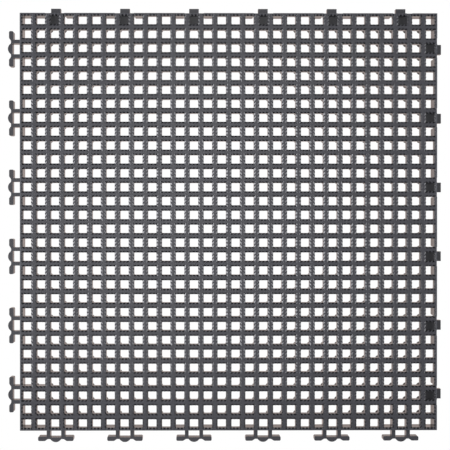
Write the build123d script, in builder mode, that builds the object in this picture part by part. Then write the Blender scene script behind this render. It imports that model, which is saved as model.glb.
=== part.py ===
from build123d import *
import os

# Interlocking drainage floor tile, moulded in one piece from soft plastic, in millimetres.
# The origin is at the middle of the tile on the floor, with +Z up.
# The loops stand out of the -X and -Y edges, the tabs out of the +X and +Y edges.

# Grid of bars and feet
pitch = 10.0
tile_height = 12.0
bar_width = 4.0
bar_depth = 5.0
crown_width = 1.6
bevel_drop = 0.7
foot_width = 3.2

# Each connector stands at the middle cell of its module
cells_beside_connector = 2
modules_per_half = 3

# Skirt below the edge bars
skirt_thickness = 2.0
skirt_cells_beside = 1

# Loops
stem_thickness = 2.7
stem_spacing = 10.5
loop_gap_reach = 6.0
loop_length = 25.6
lobe_inner_reach = 5.4
lobe_outer_reach = 8.6
lobe_corner_radius = 1.0
shoulder_radius = 0.8
valley_reach = 7.2
valley_start = 3.9
valley_width = 1.9
shoulder_width = 2.1
crest_reach = 9.4
loop_rib_cells = 2

# Tabs
tab_reach = 4.4
tab_height = 4.4
plug_recess = 3.0
relief_width = 14.0
relief_depth = 0.2
gusset_flat_cells = 1
gusset_slope_cells = 1
gusset_thickness = 2.0

# Clearance between this tile and the next one
fit_gap = 0.4

# Worked out from the sizes above
module_cells = 2 * cells_beside_connector + 1
module_length = module_cells * pitch
half_module = module_length / 2
half_tile = modules_per_half * module_length
bar_bottom = tile_height - bar_depth
loop_height = bar_bottom - fit_gap
loop_gap_width = stem_spacing - stem_thickness
tab_width = loop_gap_width - 2 * fit_gap
valley_end = valley_start + valley_width
shoulder_end = valley_end + shoulder_width
skirt_reach = (skirt_cells_beside + 0.5) * pitch
corner_skirt_length = half_module - skirt_reach
slot_end_spacing = stem_spacing + stem_thickness + 2 * fit_gap + skirt_thickness
post_depth = loop_gap_reach - fit_gap
gusset_start = pitch
gusset_bend = gusset_start + gusset_flat_cells * pitch
gusset_end = gusset_bend + gusset_slope_cells * pitch

# Section of one bar: upright sides, a bevel on each side and a flat crown
with BuildSketch() as bar_section:
    with BuildLine():
        Polyline(
            (-bar_width / 2, bar_bottom),
            (bar_width / 2, bar_bottom),
            (bar_width / 2, tile_height - bevel_drop),
            (crown_width / 2, tile_height),
            (-crown_width / 2, tile_height),
            (-bar_width / 2, tile_height - bevel_drop),
            close=True,
        )
    make_face()

# The bars of one module side by side, the first and last cut along their middle
with BuildSketch() as bar_row:
    with GridLocations(pitch, 1, module_cells + 1, 1):
        add(bar_section.sketch)
    with Locations((0, tile_height / 2)):
        Rectangle(module_length, tile_height, mode=Mode.INTERSECT)

# Behind a loop: the skirt, open between the stems, and a deep rib under the bar of each stem.
# The tile's edge is at x = 0, and +X runs outwards.
with BuildPart() as loop_root:
    with BuildSketch():
        with Locations((-skirt_thickness / 2, 0)):
            Rectangle(skirt_thickness, 2 * skirt_reach)
            Rectangle(skirt_thickness, loop_gap_width, mode=Mode.SUBTRACT)
        with Locations((-loop_rib_cells * pitch / 2, 0)):
            with GridLocations(1, stem_spacing, 1, 2):
                Rectangle(loop_rib_cells * pitch, stem_thickness)
    extrude(amount=bar_bottom)

# Behind a tab: the skirt with a round-ended slot for each stem, the post that fills the next
# tile's loop, the closed cell above it, and a gusset under the bar on each side
with BuildPart() as tab_root:
    with BuildSketch():
        with Locations((-skirt_thickness / 2, 0)):
            Rectangle(skirt_thickness, 2 * skirt_reach)
            Rectangle(skirt_thickness, slot_end_spacing, mode=Mode.SUBTRACT)
            with GridLocations(1, slot_end_spacing, 1, 2):
                Circle(skirt_thickness / 2)
        with Locations((-post_depth / 2, 0)):
            Rectangle(post_depth, tab_width)
    extrude(amount=bar_bottom)
    with BuildSketch(Plane.XY.offset(bar_bottom)):
        with Locations((-pitch / 2, 0)):
            Rectangle(pitch, pitch)
    extrude(amount=bar_depth - plug_recess)
    for side in (-1, 1):
        with BuildSketch(Plane.XZ.offset(side * pitch / 2)):
            with BuildLine():
                Polyline(
                    (-gusset_start, bar_bottom),
                    (-gusset_start, 0),
                    (-gusset_bend, 0),
                    (-gusset_end, bar_bottom),
                    close=True,
                )
            make_face()
        extrude(amount=gusset_thickness / 2, both=True)

# Shallow recess in the edge bar above a tab
with BuildPart() as tab_relief:
    with BuildSketch(Plane.XY.offset(bar_bottom)):
        with Locations((-relief_depth / 2, 0)):
            Rectangle(relief_depth, relief_width)
    extrude(amount=bar_depth)

roots = {"loops": loop_root.part, "tabs": tab_root.part}
outer_edges = [Location((half_module, 0, 0)), Location((0, half_module, 0), (0, 0, 90))]


def make_module(*styles):
    """Bars fused where they cross, with feet. Each style adds an outer edge, first +X and then +Y."""
    columns = module_cells if len(styles) > 0 else module_cells + 1
    rows = module_cells if len(styles) > 1 else module_cells + 1
    with BuildPart() as module:
        with BuildSketch(Plane.YZ.offset(-half_module)):
            add(bar_row.sketch)
        extrude(amount=module_length)
        with BuildSketch(Plane.XZ.offset(-half_module)):
            add(bar_row.sketch)
        extrude(amount=module_length, clean=False)
        with BuildSketch():
            with Locations(*[(column * pitch - half_module, row * pitch - half_module)
                             for column in range(columns) for row in range(rows)]):
                Rectangle(foot_width, foot_width)
            Rectangle(module_length, module_length, mode=Mode.INTERSECT)
            if len(styles) > 1:
                with Locations((half_module - skirt_thickness / 2, half_module - corner_skirt_length / 2)):
                    Rectangle(skirt_thickness, corner_skirt_length)
                with Locations((half_module - corner_skirt_length / 2, half_module - skirt_thickness / 2)):
                    Rectangle(corner_skirt_length, skirt_thickness)
        extrude(amount=bar_bottom)
        for style, place in zip(styles, outer_edges):
            with Locations(place):
                add(roots[style])
                if style == "tabs":
                    add(tab_relief.part, mode=Mode.SUBTRACT)
    return module.part


# Modules that the quarters share
inner_module = make_module()
edge_modules = {style: make_module(style) for style in roots}


def make_quarter(label, turn, first_style, second_style):
    """Modules fused side by side, placed at the +X +Y corner and turned about the tile's middle."""
    inner_centres = [(number + 0.5) * module_length for number in range(modules_per_half - 1)]
    edge_centre = half_tile - half_module
    placed = [Pos(x, y) * inner_module for x in inner_centres for y in inner_centres]
    placed += [Pos(edge_centre, y) * edge_modules[first_style] for y in inner_centres]
    placed += [Pos(x, edge_centre) * Rot(Z=90) * edge_modules[second_style] for x in inner_centres]
    placed.append(Pos(edge_centre, edge_centre) * make_module(first_style, second_style))
    with BuildPart() as quarter:
        with Locations(Rot(Z=turn)):
            add(placed, clean=False)
    quarter.part.label = label
    return quarter.part


# Plan of one loop: two stems and a bar of three lobes
with BuildSketch() as loop_plan:
    with BuildLine():
        crest = ThreePointArc((valley_reach, -valley_start), (crest_reach, 0), (valley_reach, valley_start))
        Polyline(
            crest @ 1,
            (valley_reach, valley_end),
            (lobe_outer_reach, shoulder_end),
            (lobe_outer_reach, loop_length / 2),
            (lobe_inner_reach, loop_length / 2),
            (lobe_inner_reach, -loop_length / 2),
            (lobe_outer_reach, -loop_length / 2),
            (lobe_outer_reach, -shoulder_end),
            (valley_reach, -valley_end),
            crest @ 0,
        )
    make_face()
    bends = loop_plan.vertices().filter_by_position(Axis.Y, -shoulder_end - 1, shoulder_end + 1)
    fillet(bends, shoulder_radius)
    fillet(loop_plan.vertices().group_by(Axis.Y)[0], lobe_corner_radius)
    fillet(loop_plan.vertices().group_by(Axis.Y)[-1], lobe_corner_radius)
    with Locations((lobe_inner_reach / 2, 0)):
        with GridLocations(1, stem_spacing, 1, 2):
            Rectangle(lobe_inner_reach, stem_thickness)
    with Locations((loop_gap_reach / 2, 0)):
        Rectangle(loop_gap_reach, loop_gap_width, mode=Mode.SUBTRACT)


def make_connectors(label, turn, plan, height):
    """The loops or tabs of one edge, one to each module."""
    outward = Vector(1, 0, 0).rotate(Axis.Z, turn)
    with BuildPart() as connectors:
        with BuildSketch(Plane(origin=outward * half_tile, x_dir=outward, z_dir=(0, 0, 1))):
            with GridLocations(1, module_length, 1, 2 * modules_per_half):
                add(plan)
        extrude(amount=height)
    connectors.part.label = label
    return connectors.part


# Plan of one tab, which reaches under the edge bar of the next tile
with BuildSketch() as tab_plan:
    with Locations((tab_reach / 2, 0)):
        Rectangle(tab_reach, tab_width)

# Write each node
os.makedirs("parts", exist_ok=True)
nodes = [
    make_quarter("back_right_quarter", 0, "tabs", "tabs"),
    make_quarter("back_left_quarter", 90, "tabs", "loops"),
    make_quarter("front_left_quarter", 180, "loops", "loops"),
    make_quarter("front_right_quarter", 270, "loops", "tabs"),
    make_connectors("right_edge_tabs", 0, tab_plan.sketch, tab_height),
    make_connectors("back_edge_tabs", 90, tab_plan.sketch, tab_height),
    make_connectors("left_edge_loops", 180, loop_plan.sketch, loop_height),
    make_connectors("front_edge_loops", 270, loop_plan.sketch, loop_height),
]
for node in nodes:
    export_step(node, f"parts/{node.label}.step")
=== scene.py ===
# %% [markdown]
# # Perforated floor tile
# The tile is one moulding of soft charcoal plastic: a grid of bars on short feet, with loops on two
# edges and tabs on the other two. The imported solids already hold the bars, skirts, loops and tabs, and
# they ride along as the fixed frame. This script adds what the mould leaves on the surface: the
# leaning ribs on the bars, the round feet, the rounded corners of the openings and the plastic itself.

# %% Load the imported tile
import math

import bmesh
import bpy
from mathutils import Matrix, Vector


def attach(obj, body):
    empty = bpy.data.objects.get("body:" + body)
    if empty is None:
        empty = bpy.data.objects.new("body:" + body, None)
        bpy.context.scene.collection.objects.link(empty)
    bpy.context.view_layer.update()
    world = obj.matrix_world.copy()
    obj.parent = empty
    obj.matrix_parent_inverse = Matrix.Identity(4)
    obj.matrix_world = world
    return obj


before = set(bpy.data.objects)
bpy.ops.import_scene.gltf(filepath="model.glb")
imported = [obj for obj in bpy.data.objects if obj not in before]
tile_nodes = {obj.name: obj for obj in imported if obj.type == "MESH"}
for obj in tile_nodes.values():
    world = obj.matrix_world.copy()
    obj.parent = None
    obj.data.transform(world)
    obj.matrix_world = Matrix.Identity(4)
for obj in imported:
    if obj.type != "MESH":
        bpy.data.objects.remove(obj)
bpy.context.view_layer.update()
print("packed nodes:", sorted(tile_nodes))

# %% [markdown]
# ## Sizes
# Everything is in metres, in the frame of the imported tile: the floor is at zero height and the middle
# of the tile is above the origin. The ribs, feet and corners have to follow the grid, so the few sizes
# that they share are named once here. Two faces in one plane would flicker, so an added piece stops a
# hairbreadth short of a face of the tile, or reaches a hairbreadth into it.

# %% Sizes of the grid
bar_pitch = 0.010
bars_each_way = 31
bar_half_width = 0.0020
crown_half_width = 0.0008
bevel_drop = 0.0007
bar_underside = 0.007
walking_height = 0.012
hairbreadth = 0.00002
openings_each_way = bars_each_way - 1
tile_edge = openings_each_way * bar_pitch / 2
print("openings:", openings_each_way * openings_each_way)
print("from the middle to the edge:", tile_edge)

# %% [markdown]
# ## Tools for node trees
# Geometry trees and material trees are both made of nodes and links. A few small helpers keep the
# later cells short: they add a node and fill its sockets with numbers or links.


# %% Add a node
def add_node(tree, kind, *inputs, **settings):
    """Adds a node. Each of inputs is a number for a socket, another node's output socket, or None."""
    made = tree.nodes.new(kind)
    for name, value in settings.items():
        setattr(made, name, value)
    for socket, value in zip(made.inputs, inputs):
        if isinstance(value, bpy.types.NodeSocket):
            tree.links.new(value, socket)
        elif value is not None:
            socket.default_value = value
    return made


def calculate(tree, operation, *inputs):
    """A Math node's result."""
    return add_node(tree, "ShaderNodeMath", *inputs, operation=operation).outputs[0]


def map_range(tree, value, from_low, from_high, to_low, to_high):
    """A Map Range node's result, which stays between to_low and to_high."""
    return add_node(tree, "ShaderNodeMapRange", value, from_low, from_high, to_low, to_high).outputs[0]


def add_noise(tree, place, scale, detail):
    """A noise pattern's value."""
    return add_node(tree, "ShaderNodeTexNoise", place, None, scale, detail).outputs[0]


print("node helpers ready")

# %% [markdown]
# A geometry tree gets named inputs, so that each size can be read and changed in the modifier. It runs
# once on an empty mesh, and the result is kept as a plain mesh, since the export drops instances.


# %% Start and run a geometry tree
def start_geometry_tree(name, named_inputs):
    """A geometry tree with these inputs, and its group input and output nodes."""
    tree = bpy.data.node_groups.new(name, "GeometryNodeTree")
    tree.interface.new_socket("Geometry", in_out="OUTPUT", socket_type="NodeSocketGeometry")
    for label, (kind, value) in named_inputs.items():
        socket = tree.interface.new_socket(label, in_out="INPUT", socket_type="NodeSocket" + kind)
        if kind not in ("Object", "Material"):
            socket.default_value = value
    return tree, tree.nodes.new("NodeGroupInput"), tree.nodes.new("NodeGroupOutput")


def bake_tree(name, tree, named_inputs):
    """Runs a geometry tree on an empty mesh and keeps the result as a plain mesh object."""
    carrier = bpy.data.objects.new(name + "_carrier", bpy.data.meshes.new(name + "_carrier"))
    bpy.context.scene.collection.objects.link(carrier)
    modifier = carrier.modifiers.new("made", "NODES")
    modifier.node_group = tree
    for socket in tree.interface.items_tree:
        if socket.in_out == "INPUT":
            modifier[socket.identifier] = named_inputs[socket.name][1]
    graph = bpy.context.evaluated_depsgraph_get()
    mesh = bpy.data.meshes.new_from_object(carrier.evaluated_get(graph), depsgraph=graph)
    mesh.name = name
    carrier.modifiers.remove(modifier)
    bpy.data.objects.remove(carrier)
    piece = bpy.data.objects.new(name, mesh)
    bpy.context.scene.collection.objects.link(piece)
    mesh.calc_loop_triangles()
    print(name, "triangles:", len(mesh.loop_triangles))
    return piece


print("tree helpers ready")

# %% [markdown]
# ## Plastic
# The tile is moulded from soft PVC that is charcoal right through. What makes it look real is small:
# the mould's fine grain breaks up the shine, the tone drifts a little from place to place, wear and
# painted light make the highest parts paler, and a painted highlight of the side lamps lies along the
# outer crowns. Each of these is a shader group with named inputs, because the bars, the ribs and the
# feet all use them with their own values.
#
# The grain is a fine noise, which gives both the height for a Bump node and a little change in the
# roughness. The drift is a slow noise of the same kind.


# %% Grain of the mould
def start_shader_group(name, inputs, outputs):
    """A shader group with float inputs, given by name and value, and float outputs, given by name."""
    group = bpy.data.node_groups.new(name, "ShaderNodeTree")
    for label, value in inputs.items():
        socket = group.interface.new_socket(label, in_out="INPUT", socket_type="NodeSocketFloat")
        socket.default_value = value
    for label in outputs:
        group.interface.new_socket(label, in_out="OUTPUT", socket_type="NodeSocketFloat")
    return group, group.nodes.new("NodeGroupInput"), group.nodes.new("NodeGroupOutput")


grain, grain_in, grain_out = start_shader_group(
    "mould_grain",
    {"Grains per Metre": 4000.0, "Drift per Metre": 25.0, "Roughness": 0.45, "Roughness Spread": 0.08},
    ["Height", "Roughness", "Drift"],
)
grain_detail = 3.0
drift_detail = 2.0
place = add_node(grain, "ShaderNodeTexCoord").outputs["Object"]
fine = add_noise(grain, place, grain_in.outputs["Grains per Metre"], grain_detail)
slow = add_noise(grain, place, grain_in.outputs["Drift per Metre"], drift_detail)
spread = calculate(grain, "SUBTRACT", fine, 0.5)
spread = calculate(grain, "MULTIPLY", spread, grain_in.outputs["Roughness Spread"])
rough = calculate(grain, "ADD", spread, grain_in.outputs["Roughness"])
grain.links.new(fine, grain_out.inputs["Height"])
grain.links.new(rough, grain_out.inputs["Roughness"])
grain.links.new(slow, grain_out.inputs["Drift"])
print("mould grain outputs:", [s.name for s in grain_out.inputs if s.name])

# %% [markdown]
# Feet and brushes rub the highest parts first, and these parts are also paler as painted light, while
# the faces below them stay dark as painted shade. A mask that rises from zero to one over the last
# bit of height picks those parts out with no painting by hand, and a noise leaves some patches less
# pale than others.

# %% Rubbing and painted light on the walking face
rub_and_light, rub_and_light_in, rub_and_light_out = start_shader_group(
    "rubbed_and_lit_top",
    {"Low": 0.01172, "High": 0.01196, "Patches per Metre": 150.0, "Patchiness": 0.4, "Amount": 0.8},
    ["Mask"],
)
rub_and_light_detail = 4.0
rub_and_light_place = add_node(rub_and_light, "ShaderNodeTexCoord").outputs["Object"]
rub_and_light_height = add_node(rub_and_light, "ShaderNodeSeparateXYZ", rub_and_light_place).outputs["Z"]
high_part = map_range(rub_and_light, rub_and_light_height, rub_and_light_in.outputs["Low"], rub_and_light_in.outputs["High"], 0.0, 1.0)
patches = add_noise(rub_and_light, rub_and_light_place, rub_and_light_in.outputs["Patches per Metre"], rub_and_light_detail)
missed = calculate(rub_and_light, "MULTIPLY", patches, rub_and_light_in.outputs["Patchiness"])
rubbed_and_lit = calculate(rub_and_light, "MULTIPLY", high_part, calculate(rub_and_light, "SUBTRACT", 1.0, missed))
rubbed_and_lit = calculate(rub_and_light, "MULTIPLY", rubbed_and_lit, rub_and_light_in.outputs["Amount"])
rub_and_light.links.new(rubbed_and_lit, rub_and_light_out.inputs["Mask"])
print("rubbed top inputs:", [s.name for s in rub_and_light_in.outputs if s.name])

# %% [markdown]
# The crowns of the outermost bars are paler, most of all on the left and right sides, which face the
# side lamps: this is a painted highlight along the tile's edge. The mask is a narrow band along the
# edge, broken up by a noise. It stops at the edge itself and below the crowns, so that loops, tabs and
# walls stay as they are.

# %% Painted highlight on the outer edges
glint_values = {
    "Edge": tile_edge, "Width": 0.0010, "Sides": 1.0, "Front and Back": 0.2, "Patches per Metre": 220.0,
}
glint_group, glint_in, glint_out = start_shader_group("painted_edge_glint", glint_values, ["Mask"])
glint_detail = 3.0
glint_floor = 0.5
edge_margin = 0.0001
glint_above = 0.0117
glint_place = add_node(glint_group, "ShaderNodeTexCoord").outputs["Object"]
glint_axes = add_node(glint_group, "ShaderNodeSeparateXYZ", glint_place).outputs
band_start = calculate(glint_group, "SUBTRACT", glint_in.outputs["Edge"], glint_in.outputs["Width"])
band_end = calculate(glint_group, "ADD", glint_in.outputs["Edge"], edge_margin)
glint_parts = []
for axis, amount in (("X", "Sides"), ("Y", "Front and Back")):
    away = calculate(glint_group, "ABSOLUTE", glint_axes[axis])
    band = map_range(glint_group, away, band_start, glint_in.outputs["Edge"], 0.0, 1.0)
    band = calculate(glint_group, "MULTIPLY", band, calculate(glint_group, "LESS_THAN", away, band_end))
    glint_parts.append(calculate(glint_group, "MULTIPLY", band, glint_in.outputs[amount]))
glint = calculate(glint_group, "MAXIMUM", *glint_parts)
glint = calculate(glint_group, "MULTIPLY", glint, calculate(glint_group, "GREATER_THAN", glint_axes["Z"], glint_above))
glint_patches = add_noise(glint_group, glint_place, glint_in.outputs["Patches per Metre"], glint_detail)
glint = calculate(glint_group, "MULTIPLY", glint, calculate(glint_group, "ADD", glint_patches, glint_floor))
glint_group.links.new(glint, glint_out.inputs["Mask"])
print("worn edge inputs:", [s.name for s in glint_in.outputs if s.name])

# %% [markdown]
# A cutter leaves each kind of face of the mould with its own polish. Here the slopes are smooth, the
# level faces duller, and the walls smooth enough to reflect the white sheet below. The tone follows the
# same split: level faces get some painted light and walls a painted reflection of the sheet, so the
# slopes stay darkest as painted shade. How far a face's normal points up or down tells the three
# apart: all the way on level faces, not at all on walls, and part of the way on slopes.

# %% Tones of the plastic
charcoal = (0.006, 0.006, 0.007)
# Pale end of the tone: rubbing and painted light on the highest parts, painted light on level faces and
# a painted reflection of the sheet on walls. The ribs' pale tone is rubbing and painted light.
lit_and_rubbed_charcoal = (0.057, 0.057, 0.066)
rib_charcoal = (0.050, 0.050, 0.058)
edge_charcoal = (0.038, 0.038, 0.043)
foot_charcoal = (0.044, 0.033, 0.030)
# Colour of the painted highlight of the side lamps on the outer crowns.
painted_glint_tone = (0.110, 0.116, 0.130)
level_limits = (0.90, 0.98)
wall_limits = (0.10, 0.40)
# Level faces get some painted light and walls a painted reflection of the sheet, so slopes stay darkest
# as painted shade.
level_light_amount = 0.25
drift_amount = 0.2
dark_end, pale_end = 0.06, 0.90
grain_depth = 0.00004
plastic_ior = 1.5
print("darkest and palest charcoal:", charcoal, painted_glint_tone)

# %% [markdown]
# One function makes every finish, so that all of them are charcoal in the same way and differ only in
# named values. The three groups give masks and values, and the Principled shader stays in the material.


# %% Make one finish
def make_plastic(name, dark, pale, *, slope_roughness, flat_roughness, wall_roughness, wall_reflection_amount,
                 bump, rub_and_light_amount, rub_and_light_low, rub_and_light_high):
    """Charcoal plastic between two tones. Slopes, level faces and walls each have their own polish and
    tone: painted light on level faces, a painted reflection on walls, painted shade on slopes.
    """
    material = bpy.data.materials.new(name)
    material.use_nodes = True
    tree = material.node_tree
    shader = tree.nodes["Principled BSDF"]
    grains = add_node(tree, "ShaderNodeGroup", node_tree=grain)
    grains.inputs["Roughness"].default_value = slope_roughness
    rubbing_and_light = add_node(tree, "ShaderNodeGroup", node_tree=rub_and_light)
    rubbing_and_light.inputs["Amount"].default_value = rub_and_light_amount
    rubbing_and_light.inputs["Low"].default_value = rub_and_light_low
    rubbing_and_light.inputs["High"].default_value = rub_and_light_high
    glinting = add_node(tree, "ShaderNodeGroup", node_tree=glint_group)

    normal = tree.nodes.new("ShaderNodeNewGeometry").outputs["Normal"]
    upward = add_node(tree, "ShaderNodeSeparateXYZ", normal).outputs["Z"]
    level = calculate(tree, "ABSOLUTE", upward)
    # Painted light on level faces and a painted reflection of the sheet on walls.
    painted_level_light = map_range(tree, level, *level_limits, 0.0, level_light_amount)
    painted_wall_reflection = map_range(tree, level, *wall_limits, wall_reflection_amount, 0.0)
    tone = calculate(tree, "MAXIMUM", painted_level_light, painted_wall_reflection)
    # The paler top is partly rubbing and partly painted light; the faces below it stay dark as painted
    # shade.
    tone = calculate(tree, "MAXIMUM", rubbing_and_light.outputs["Mask"], tone)
    drift = calculate(tree, "MULTIPLY", grains.outputs["Drift"], drift_amount)
    tone = calculate(tree, "ADD", drift, tone)
    ramp = add_node(tree, "ShaderNodeValToRGB", tone)
    for end, position, colour in zip(ramp.color_ramp.elements, (dark_end, pale_end), (dark, pale)):
        end.position = position
        end.color = (*colour, 1)
    # Painted highlight of the side lamps along the outer crowns.
    glint_mask = glinting.outputs["Mask"]
    tint = add_node(tree, "ShaderNodeMixRGB", glint_mask, ramp.outputs["Color"], (*painted_glint_tone, 1))
    tree.links.new(tint.outputs["Color"], shader.inputs["Base Color"])

    polish = map_range(tree, level, *level_limits, grains.outputs["Roughness"], flat_roughness)
    polish = map_range(tree, level, *wall_limits, wall_roughness, polish)
    tree.links.new(polish, shader.inputs["Roughness"])
    relief = add_node(tree, "ShaderNodeBump")
    relief.inputs["Strength"].default_value = bump
    relief.inputs["Distance"].default_value = grain_depth
    tree.links.new(grains.outputs["Height"], relief.inputs["Height"])
    tree.links.new(relief.outputs["Normal"], shader.inputs["Normal"])
    shader.inputs["IOR"].default_value = plastic_ior
    return material


print("tones run between:", dark_end, "and", pale_end)

# %% [markdown]
# The tile needs four finishes. The bars have smooth walls and bevels and duller crowns, with a painted
# reflection on their walls, and the ribs are dull all over and get the paler top over the widest band
# of height, as rubbing and painted light. The loops and tabs are greyer and get only a little of the
# paler top, and the feet are rough and a little warm.

# %% Four finishes
bar_plastic = make_plastic(
    "bar_plastic", charcoal, lit_and_rubbed_charcoal, slope_roughness=0.19, flat_roughness=0.40,
    wall_roughness=0.12, wall_reflection_amount=0.50, bump=0.25, rub_and_light_amount=0.8, rub_and_light_low=0.01180, rub_and_light_high=0.01198,
)
rib_plastic = make_plastic(
    "rib_plastic", charcoal, rib_charcoal, slope_roughness=0.40, flat_roughness=0.40,
    wall_roughness=0.30, wall_reflection_amount=0.0, bump=0.35, rub_and_light_amount=1.0, rub_and_light_low=0.01150, rub_and_light_high=0.01184,
)
edge_plastic = make_plastic(
    "edge_plastic", edge_charcoal, lit_and_rubbed_charcoal, slope_roughness=0.40, flat_roughness=0.40,
    wall_roughness=0.14, wall_reflection_amount=0.0, bump=0.30, rub_and_light_amount=0.2, rub_and_light_low=0.003, rub_and_light_high=0.008,
)
foot_plastic = make_plastic(
    "foot_plastic", foot_charcoal, foot_charcoal, slope_roughness=0.60, flat_roughness=0.60,
    wall_roughness=0.60, wall_reflection_amount=0.0, bump=0.40, rub_and_light_amount=0.0, rub_and_light_low=0.01172, rub_and_light_high=0.01196,
)
print("plastics:", [m.name for m in (bar_plastic, rib_plastic, edge_plastic, foot_plastic)])

# %% [markdown]
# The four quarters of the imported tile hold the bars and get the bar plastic, and the loops and tabs
# get the greyer one. Their meshes stay as they are.

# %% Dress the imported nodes
for node_name, node_object in tile_nodes.items():
    finish = bar_plastic if node_name.endswith("quarter") else edge_plastic
    if not node_object.material_slots:
        node_object.data.materials.append(finish)
    for slot in node_object.material_slots:
        slot.material = finish
    print(node_name, "in", finish.name)

# %% [markdown]
# ## Ribs on the bars
# Between the crossings, three small ribs lie across each bar and give the tile its grip. They are
# level with the crown and run out over the bevels, so the bevel shows only between them. On every
# fifth bar they lie square across it, and on the bars between they lean one way and the other in
# turn, like the strands of a rope. One rib is a short bar of a few faces, made from listed points. A
# geometry tree then sets it along all the bars and leans it, which is far less work than modelling
# thousands.


# %% Closed mesh from points
def make_closed_mesh(name, points, faces):
    """A closed mesh with its faces outwards."""
    shape = bmesh.new()
    corners = [shape.verts.new(p) for p in points]
    for face in faces:
        shape.faces.new([corners[n] for n in face])
    bmesh.ops.recalc_face_normals(shape, faces=shape.faces)
    mesh = bpy.data.meshes.new(name)
    shape.to_mesh(mesh)
    shape.free()
    return bpy.data.objects.new(name, mesh)


print("mesh helper ready")

# %% [markdown]
# A rib is drawn by its sections. Each section has four points and stands at one station on the way
# across the bar. The rib is narrower at its top, so that the mould can let go of it.

# %% Rib from its stations
rib_half_width = 0.00055
rib_top_half_width = 0.00044
section_points = 4


def make_rib(name, stations):
    """A rib through stations across the bar: how far across, and the heights of its root and top."""
    points = []
    for across, low, high in stations:
        points += [(-rib_half_width, across, low), (rib_half_width, across, low)]
        points += [(rib_top_half_width, across, high), (-rib_top_half_width, across, high)]
    last = len(points) - section_points
    faces = [(0, 1, 2, 3), (last, last + 1, last + 2, last + 3)]
    for start in range(0, last, section_points):
        for number in range(section_points):
            one, other = start + number, start + (number + 1) % section_points
            faces.append((one, other, other + section_points, one + section_points))
    rib = make_closed_mesh(name, points, faces)
    print(name, "faces:", len(rib.data.polygons))
    return rib


print("width of a rib at its root and top:", 2 * rib_half_width, 2 * rib_top_half_width)

# %% [markdown]
# The outermost bars are cut along their middle by the edge of the tile, so they carry half a rib.
# Both ribs are drawn from a few stations: the side of the bar, the rim of the crown and the middle.

# %% Whole and half rib
rib_rise = 0.00006
rib_end_drop = 0.00008
rib_root = 0.00005
half_rib_inset = 0.00003
rib_side = bar_half_width - hairbreadth
side_station = (-rib_side, -bevel_drop, -rib_end_drop)
crown_station = (-crown_half_width, -rib_root, rib_rise)
middle_station = (-half_rib_inset, -rib_root, rib_rise)
other_half = [(-across, low, high) for across, low, high in (crown_station, side_station)]
rib_shape = make_rib("one_rib", [side_station, crown_station, *other_half])
edge_rib_shape = make_rib("one_edge_rib", [side_station, crown_station, middle_station])

# %% [markdown]
# The tree starts from a grid of points, with one row along each bar and four steps to a pitch. That
# gives every place where a rib could be. The sizes are named inputs, so the pattern can be changed in
# one place.

# %% Inputs of the rib tree
ribs_per_pitch = 4
rib_inputs = {
    "Rib": ("Object", rib_shape),
    "Edge Rib": ("Object", edge_rib_shape),
    "Bars": ("Int", bars_each_way),
    "Bar Pitch": ("Float", bar_pitch),
    "Ribs per Pitch": ("Int", ribs_per_pitch),
    "Clear of Crossing": ("Float", 0.0021),
    "Bars per Repeat": ("Float", 5.0),
    "Lean": ("Float", 0.81),
    "Height": ("Float", walking_height),
    "Turn": ("Float", 0.0),
    "Finish": ("Material", rib_plastic),
}
rib_tree, rib_in, rib_out = start_geometry_tree("bar_ribs", rib_inputs)
size = rib_in.outputs
bar_gaps = calculate(rib_tree, "SUBTRACT", size["Bars"], 1.0)
rows_length = calculate(rib_tree, "MULTIPLY", bar_gaps, size["Bar Pitch"])
rib_steps = calculate(rib_tree, "MULTIPLY", bar_gaps, size["Ribs per Pitch"])
rib_count = calculate(rib_tree, "ADD", rib_steps, 1.0)
grid = add_node(rib_tree, "GeometryNodeMeshGrid", rows_length, rows_length, rib_count, size["Bars"])
print("rib tree inputs:", list(rib_inputs))

# %% [markdown]
# Each point of the grid is one place for a rib. A point too near a crossing gets none. The number of
# its bar, counted from the middle of the tile, says which way the rib leans: the remainder after
# dividing by five is zero on the square-ribbed bars, odd on one lean and even on the other. The lean
# is a shear and not a turn, so that both ends of the rib stay flush with the sides of the bar.

# %% Choose the lean and the places
position = add_node(rib_tree, "GeometryNodeInputPosition").outputs[0]
spot = add_node(rib_tree, "ShaderNodeSeparateXYZ", position)
cell = calculate(rib_tree, "ROUND", calculate(rib_tree, "DIVIDE", spot.outputs["X"], size["Bar Pitch"]))
crossing = calculate(rib_tree, "MULTIPLY", cell, size["Bar Pitch"])
off_crossing = calculate(rib_tree, "SUBTRACT", spot.outputs["X"], crossing)
off_crossing = calculate(rib_tree, "ABSOLUTE", off_crossing)
between = calculate(rib_tree, "GREATER_THAN", off_crossing, size["Clear of Crossing"])
bar_number = calculate(rib_tree, "DIVIDE", spot.outputs["Y"], size["Bar Pitch"])
bar_number = calculate(rib_tree, "ROUND", calculate(rib_tree, "MULTIPLY", bar_number, -1.0))
remainder = calculate(rib_tree, "FLOORED_MODULO", bar_number, size["Bars per Repeat"])
leaning = calculate(rib_tree, "GREATER_THAN", remainder, 0.5)
odd = calculate(rib_tree, "FLOORED_MODULO", remainder, 2.0)
side = calculate(rib_tree, "SUBTRACT", calculate(rib_tree, "MULTIPLY", odd, 2.0), 1.0)
lean = calculate(rib_tree, "MULTIPLY", calculate(rib_tree, "MULTIPLY", side, leaning), size["Lean"])
outermost = calculate(rib_tree, "SUBTRACT", calculate(rib_tree, "MULTIPLY", bar_gaps, 0.5), 0.5)
on_edge = calculate(rib_tree, "GREATER_THAN", calculate(rib_tree, "ABSOLUTE", bar_number), outermost)
off_edge = calculate(rib_tree, "SUBTRACT", 1.0, on_edge)
whole_places = calculate(rib_tree, "MULTIPLY", between, off_edge)
half_places = calculate(rib_tree, "MULTIPLY", between, on_edge)
print("points of the grid:", bars_each_way * (openings_each_way * ribs_per_pitch + 1))

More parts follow.
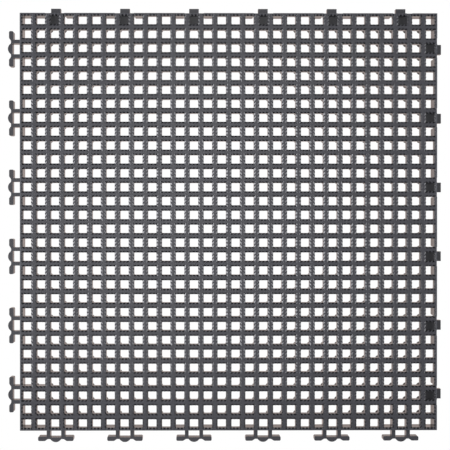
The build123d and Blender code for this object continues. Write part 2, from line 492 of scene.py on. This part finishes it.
# %% [markdown]
# The half rib is drawn for the back edge, where it points inwards. On the front edge it is turned by
# half a circle. It needs no lean, because the outermost bars are among the square-ribbed ones.


# %% Set the ribs on the points
def set_on_points(tree, points, chosen, shape):
    """Instances of an object on the chosen points."""
    info = add_node(tree, "GeometryNodeObjectInfo", shape, True)
    copies = add_node(tree, "GeometryNodeInstanceOnPoints")
    tree.links.new(points, copies.inputs["Points"])
    if chosen is not None:
        tree.links.new(chosen, copies.inputs["Selection"])
    tree.links.new(info.outputs["Geometry"], copies.inputs["Instance"])
    return copies


ribs = set_on_points(rib_tree, grid.outputs["Mesh"], whole_places, size["Rib"])
edge_ribs = set_on_points(rib_tree, grid.outputs["Mesh"], half_places, size["Edge Rib"])
front = calculate(rib_tree, "LESS_THAN", spot.outputs["Y"], 0.0)
half_turn = calculate(rib_tree, "MULTIPLY", front, math.pi)
edge_turn = add_node(rib_tree, "ShaderNodeCombineXYZ", 0.0, 0.0, half_turn)
rib_tree.links.new(edge_turn.outputs["Vector"], edge_ribs.inputs["Rotation"])
lift = add_node(rib_tree, "ShaderNodeCombineXYZ", 0.0, 0.0, size["Height"])
lifted = add_node(rib_tree, "GeometryNodeTransform")
rib_tree.links.new(edge_ribs.outputs["Instances"], lifted.inputs["Geometry"])
rib_tree.links.new(lift.outputs["Vector"], lifted.inputs["Translation"])
edge_bars = 4
print("half ribs on the edge bars:", edge_bars * openings_each_way * (ribs_per_pitch - 1))

# %% [markdown]
# The shear is written as a matrix for each instance: its second column moves a point along the bar as
# it goes across, and its fourth holds the rib's place. The same tree makes the ribs of the cross bars
# and, turned by a quarter circle, those of the long bars.

# %% Finish the rib tree
shear = add_node(rib_tree, "FunctionNodeCombineMatrix")
rib_tree.links.new(lean, shear.inputs["Column 2 Row 1"])
rib_tree.links.new(spot.outputs["X"], shear.inputs["Column 4 Row 1"])
rib_tree.links.new(spot.outputs["Y"], shear.inputs["Column 4 Row 2"])
rib_tree.links.new(size["Height"], shear.inputs["Column 4 Row 3"])
leaned = add_node(rib_tree, "GeometryNodeSetInstanceTransform")
rib_tree.links.new(ribs.outputs["Instances"], leaned.inputs["Instances"])
rib_tree.links.new(shear.outputs["Matrix"], leaned.inputs["Transform"])
turn = add_node(rib_tree, "ShaderNodeCombineXYZ", 0.0, 0.0, size["Turn"])
turned = add_node(rib_tree, "GeometryNodeTransform")
all_ribs = add_node(rib_tree, "GeometryNodeJoinGeometry")
rib_tree.links.new(leaned.outputs["Instances"], all_ribs.inputs["Geometry"])
rib_tree.links.new(lifted.outputs["Geometry"], all_ribs.inputs["Geometry"])
rib_tree.links.new(all_ribs.outputs["Geometry"], turned.inputs["Geometry"])
rib_tree.links.new(turn.outputs["Vector"], turned.inputs["Rotation"])
plain = add_node(rib_tree, "GeometryNodeRealizeInstances", turned.outputs["Geometry"])
finished = add_node(rib_tree, "GeometryNodeSetMaterial", plain.outputs["Geometry"])
rib_tree.links.new(size["Finish"], finished.inputs["Material"])
rib_tree.links.new(finished.outputs["Geometry"], rib_out.inputs["Geometry"])
cross_ribs = bake_tree("ribs_on_cross_bars", rib_tree, rib_inputs)
rib_inputs["Turn"] = ("Float", math.pi / 2)
long_ribs = bake_tree("ribs_on_long_bars", rib_tree, rib_inputs)

# %% [markdown]
# ## Round feet
# Under each inner crossing stands a short round foot, a little wider than the bars and flared towards
# the floor, so slivers of it show in the corners of the openings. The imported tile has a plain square
# foot there. A sleeve round it, made once and set under every crossing by a geometry tree, gives the
# real outline.

# %% One foot
foot_sides = 16
foot_top_radius = 0.0025
foot_floor_radius = 0.00268
foot_overlap = 0.0001
foot_top = bar_underside + foot_overlap
foot_points = []
for radius, height in ((foot_floor_radius, 0.0), (foot_top_radius, foot_top)):
    for number in range(foot_sides):
        angle = 2 * math.pi * (number + 0.5) / foot_sides
        foot_points.append((radius * math.cos(angle), radius * math.sin(angle), height))
foot_faces = [tuple(range(foot_sides)), tuple(range(foot_sides, 2 * foot_sides))]
for number in range(foot_sides):
    after = (number + 1) % foot_sides
    foot_faces.append((number, after, foot_sides + after, foot_sides + number))
foot_shape = make_closed_mesh("one_foot", foot_points, foot_faces)
for face in foot_shape.data.polygons:
    face.use_smooth = len(face.vertices) == 4
print("faces of one foot:", len(foot_shape.data.polygons))

# %% [markdown]
# Feet and corners both repeat on a square grid with the pitch of the bars, so one tree serves both. It
# takes the shape, how many there are each way, and the finish.


# %% Tree that sets one shape out on a square grid
def make_grid_tree(name):
    """A geometry tree that puts an object on each point of a square grid."""
    inputs = {
        "Shape": ("Object", None),
        "Number Each Way": ("Int", 2),
        "Pitch": ("Float", bar_pitch),
        "Finish": ("Material", None),
    }
    tree, group_in, group_out = start_geometry_tree(name, inputs)
    given = group_in.outputs
    gaps = calculate(tree, "SUBTRACT", given["Number Each Way"], 1.0)
    length = calculate(tree, "MULTIPLY", gaps, given["Pitch"])
    count = given["Number Each Way"]
    places = add_node(tree, "GeometryNodeMeshGrid", length, length, count, count)
    copies = set_on_points(tree, places.outputs["Mesh"], None, given["Shape"])
    real = add_node(tree, "GeometryNodeRealizeInstances", copies.outputs["Instances"])
    painted = add_node(tree, "GeometryNodeSetMaterial", real.outputs["Geometry"])
    tree.links.new(given["Finish"], painted.inputs["Material"])
    tree.links.new(painted.outputs["Geometry"], group_out.inputs["Geometry"])
    return tree


grid_tree = make_grid_tree("on_square_grid")
feet = bake_tree("round_feet", grid_tree, {
    "Shape": ("Object", foot_shape),
    "Number Each Way": ("Int", bars_each_way - 2),
    "Pitch": ("Float", bar_pitch),
    "Finish": ("Material", foot_plastic),
})

# %% [markdown]
# ## Rounded corners of the openings
# A cutter rounds the mould's square pins a little, so each opening has soft corners. Four slim
# fillets, one to a corner, are made as one shape of few faces. The tree that set out the feet sets
# this shape into every opening.

# %% Outline of one corner
corner_radius = 0.0005
corner_steps = 3
opening_half = bar_pitch / 2 - bar_half_width
corner_outline = [(opening_half + hairbreadth, opening_half + hairbreadth)]
for step in range(corner_steps + 1):
    angle = math.pi / 2 * step / corner_steps
    arc_x = opening_half - corner_radius + corner_radius * math.cos(angle)
    arc_y = opening_half - corner_radius + corner_radius * math.sin(angle)
    corner_outline.append((arc_x, arc_y))
print("points of one corner:", len(corner_outline))

# %% [markdown]
# The outline is turned by a quarter circle for each corner. It runs up from the underside of the bars
# to the lower rim of the bevels, where the straight wall of the opening ends.

# %% Corners of every opening
corner_points = []
corner_faces = []
corner_size = len(corner_outline)
for quarter_turn in range(4):
    first = len(corner_points)
    for height in (bar_underside, walking_height - bevel_drop):
        for x, y in corner_outline:
            for _ in range(quarter_turn):
                x, y = -y, x
            corner_points.append((x, y, height))
    corner_faces.append(tuple(range(first, first + corner_size)))
    corner_faces.append(tuple(range(first + corner_size, first + 2 * corner_size)))
    for number in range(corner_size):
        after = (number + 1) % corner_size
        low, next_low = first + number, first + after
        corner_faces.append((low, next_low, next_low + corner_size, low + corner_size))
corner_shape = make_closed_mesh("four_corners", corner_points, corner_faces)
corners = bake_tree("opening_corners", grid_tree, {
    "Shape": ("Object", corner_shape),
    "Number Each Way": ("Int", openings_each_way),
    "Pitch": ("Float", bar_pitch),
    "Finish": ("Material", bar_plastic),
})
print("faces of the corners of one opening:", len(corner_shape.data.polygons))

# %% [markdown]
# ## Join the pieces to the tile
# Ribs, feet and corners are part of the same moulding, so each one rides on the tile's only body.

# %% Ride on the tile
for piece in (cross_ribs, long_ribs, feet, corners):
    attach(piece, "root")
for shape in (rib_shape, edge_rib_shape, foot_shape, corner_shape):
    bpy.data.objects.remove(shape)
print("pieces added:", [p.name for p in (cross_ribs, long_ribs, feet, corners)])

# %% [markdown]
# ## Floor
# The tile lies on a plain white sheet. What the camera sees of the sheet is pure white, so that the
# openings read clearly. The lamps meet a pale matt surface, which throws soft light back up on the
# sides of the bars, and reflections in the smooth walls show a warm white. From below, the sheet is
# clear, so that the feet can be looked at.


# %% White sheet
plain_white = (1, 1, 1, 1)
matt_white = (0.75, 0.75, 0.75, 1)
warm_white = (0.78, 0.66, 0.62, 1)
backdrop_strength = 1.0


def make_sheet_material():
    """Matt to the lamps, warm white in reflections, plain white to the camera and clear from below."""
    material = bpy.data.materials.new("white_sheet")
    material.use_nodes = True
    tree = material.node_tree
    tree.nodes.clear()
    rays = add_node(tree, "ShaderNodeLightPath").outputs
    mirrored = calculate(tree, "MAXIMUM", rays["Is Glossy Ray"], rays["Is Transmission Ray"])
    matt = add_node(tree, "ShaderNodeBsdfDiffuse", matt_white).outputs[0]
    warm = add_node(tree, "ShaderNodeEmission", warm_white, backdrop_strength).outputs[0]
    white = add_node(tree, "ShaderNodeEmission", plain_white, backdrop_strength).outputs[0]
    clear = tree.nodes.new("ShaderNodeBsdfTransparent").outputs[0]
    look = add_node(tree, "ShaderNodeMixShader", mirrored, matt, warm).outputs[0]
    look = add_node(tree, "ShaderNodeMixShader", rays["Is Camera Ray"], look, white).outputs[0]
    behind = tree.nodes.new("ShaderNodeNewGeometry").outputs["Backfacing"]
    look = add_node(tree, "ShaderNodeMixShader", behind, look, clear).outputs[0]
    add_node(tree, "ShaderNodeOutputMaterial", look)
    return material


sheet_half_length = 3.0
sheet_drop = 0.0001
sheet_shape = bmesh.new()
bmesh.ops.create_grid(sheet_shape, x_segments=1, y_segments=1, size=sheet_half_length)
sheet_mesh = bpy.data.meshes.new("floor_sheet")
sheet_shape.to_mesh(sheet_mesh)
sheet_shape.free()
floor = bpy.data.objects.new("floor_sheet", sheet_mesh)
floor.location.z = -sheet_drop
floor.data.materials.append(make_sheet_material())
bpy.context.scene.collection.objects.link(floor)
print("floor at height:", round(floor.location.z, 4))

# %% [markdown]
# ## Light
# Two soft boxes stand low at the left and the right. The bevels slope by 30 degrees, and a slope like
# that turns light from so low an angle up into the camera. This draws the bright lines along the long
# bars, while the bevels of the cross bars stay dark. The boxes are tall, so that the lines stay bright
# on both sides of the tile, where the camera meets the bevels at other angles. They are not long from
# front to back, so that the lines are brightest in the middle rows. A slim box overhead and a
# dim sky give the crowns their even tone.


# %% Soft boxes
def add_soft_box(name, place, width, height, watts, tint=(1, 1, 1)):
    """A rectangular area lamp that faces the middle of the tile."""
    lamp = bpy.data.lights.new(name, "AREA")
    lamp.shape = "RECTANGLE"
    lamp.size = width
    lamp.size_y = height
    lamp.energy = watts
    lamp.color = tint
    holder = bpy.data.objects.new(name, lamp)
    holder.location = place
    holder.rotation_euler = (-Vector(place)).to_track_quat("-Z", "Y").to_euler()
    bpy.context.scene.collection.objects.link(holder)
    print(name, "watts:", watts)


box_distance = 1.2
cool = (0.95, 0.955, 1.0)
add_soft_box("left_box", (-box_distance, 0.03, 0.66), width=0.70, height=0.72, watts=17.4, tint=cool)
add_soft_box("right_box", (box_distance, 0.02, 0.62), width=0.70, height=0.62, watts=8.4, tint=cool)
add_soft_box("top_box", (-0.09, 0.06, 1.6), width=0.90, height=0.25, watts=5.0)

# %% [markdown]
# The sky lights the tile dimly, but the camera sees it as plain white, like the sheet. The split is
# made by the Light Path node, so no extra light falls on the tile.

# %% Dim sky
sky_colour = (0.94, 0.945, 1.0, 1)
sky_strength = 0.22
sky = bpy.data.worlds.new("dim_sky")
sky.use_nodes = True
sky_tree = sky.node_tree
dim = sky_tree.nodes["Background"]
dim.inputs["Color"].default_value = sky_colour
dim.inputs["Strength"].default_value = sky_strength
backdrop = add_node(sky_tree, "ShaderNodeBackground", plain_white, backdrop_strength).outputs[0]
to_camera = add_node(sky_tree, "ShaderNodeLightPath").outputs["Is Camera Ray"]
skies = add_node(sky_tree, "ShaderNodeMixShader", to_camera, dim.outputs[0], backdrop)
sky_tree.links.new(skies.outputs[0], sky_tree.nodes["World Output"].inputs["Surface"])
bpy.context.scene.world = sky
bpy.context.scene.view_settings.view_transform = "Standard"
print("view transform:", bpy.context.scene.view_settings.view_transform)

# %% [markdown]
# ## Camera
# The camera looks down on the tile from three quarters of a metre. It is near enough for the inner
# sides of the bars to show a little. They show more towards the right and the front, because the
# camera stands over a point left of the middle and a little behind it. It is turned towards the
# middle by less than half a degree, and the lens is shifted for the rest, to keep the whole tile in
# the picture.

# %% Camera above the tile
camera_height = 0.77
camera_x, camera_y = -0.025, 0.006
turn_right, turn_forward = math.radians(0.40), math.radians(0.25)
picture_middle_x, picture_middle_y = -0.00272, -0.00221
sensor_mm, lens_mm = 36.0, 84.4
camera_data = bpy.data.cameras.new("camera")
camera_data.sensor_width = sensor_mm
camera_data.lens = lens_mm
above_crowns = camera_height - walking_height
picture_width = sensor_mm / lens_mm * above_crowns
seen_x = camera_x + above_crowns * math.tan(turn_right)
seen_y = camera_y - above_crowns * math.tan(turn_forward)
camera_data.shift_x = (picture_middle_x - seen_x) / picture_width
camera_data.shift_y = (picture_middle_y - seen_y) / picture_width
camera = bpy.data.objects.new("camera", camera_data)
camera.location = (camera_x, camera_y, camera_height)
camera.rotation_euler = (-turn_forward, -turn_right, 0.0)
bpy.context.scene.collection.objects.link(camera)
bpy.context.scene.camera = camera
print("camera at:", [round(v, 4) for v in camera.location])
print("lens shift:", round(camera_data.shift_x, 4), round(camera_data.shift_y, 4))
